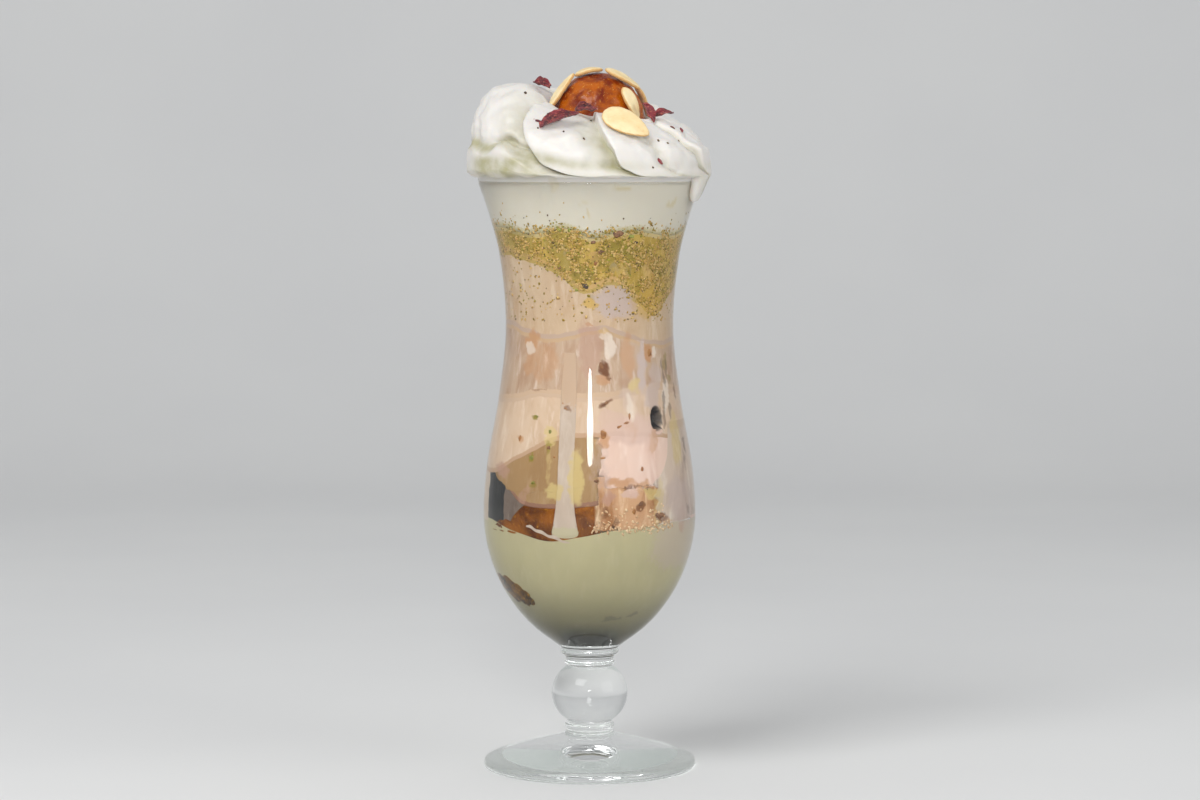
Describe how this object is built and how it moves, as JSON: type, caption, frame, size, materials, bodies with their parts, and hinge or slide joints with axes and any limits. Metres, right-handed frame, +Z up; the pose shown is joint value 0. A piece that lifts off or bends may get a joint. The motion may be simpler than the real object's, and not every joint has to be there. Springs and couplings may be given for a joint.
{
  "type": "gulab jamun sundae",
  "caption": "Tall footed glass filled with layers of ice cream, crumbs and cream, topped with a piped cream ring, a gulab jamun, sliced almonds and rose petals.",
  "frame": {"origin": "centre of the foot, on the surface that the glass stands on", "axes": "+Z up along the glass's axis, -Y towards the viewer of the picture, +X to the picture's right"},
  "size_m": [0.086, 0.0867, 0.2453],
  "materials": {
    "glass": "clear, polished",
    "base_cream": "smooth melted cream, pale green-beige",
    "gulab_jamun": "syrup-soaked fried dumpling, glossy amber brown",
    "kulfi": "ice cream with nut bits, tan",
    "pink_ice_cream": "ice cream, pale pink",
    "beige_ice_cream": "ice cream, smooth beige",
    "streaked_ice_cream": "ice cream, streaked pink and tan",
    "sponge": "cake crumbs, golden brown",
    "pistachio": "ground pistachio, yellow-green",
    "melted_cream": "melted cream run, off-white",
    "whipped_cream": "whipped cream, white",
    "almond": "sliced almond, pale yellow",
    "rose_petal": "dried rose petal, dark red"
  },
  "bodies": {
    "root": {"glass": "glass", "base_cream": "base_cream", "gulab_jamun_lower": "gulab_jamun", "gulab_jamun_chunk": "gulab_jamun", "kulfi_scoop": "kulfi", "sponge_crumbs": "sponge", "pink_scoop": "pink_ice_cream", "ice_cream_lower": "beige_ice_cream", "ice_cream_middle": "streaked_ice_cream", "ice_cream_upper": "beige_ice_cream", "pistachio_layer": "pistachio", "cream_drip": "melted_cream", "whipped_cream": "whipped_cream", "gulab_jamun_top": "gulab_jamun", "almond_flake_1": "almond", "almond_flake_2": "almond", "almond_flake_3": "almond", "almond_flake_4": "almond", "almond_flake_5": "almond", "almond_flake_6": "almond", "rose_petal_1": "rose_petal", "rose_petal_2": "rose_petal", "rose_petal_3": "rose_petal", "rose_petal_4": "rose_petal", "rose_petal_5": "rose_petal", "rose_petal_6": "rose_petal"}
  },
  "joints": []
}
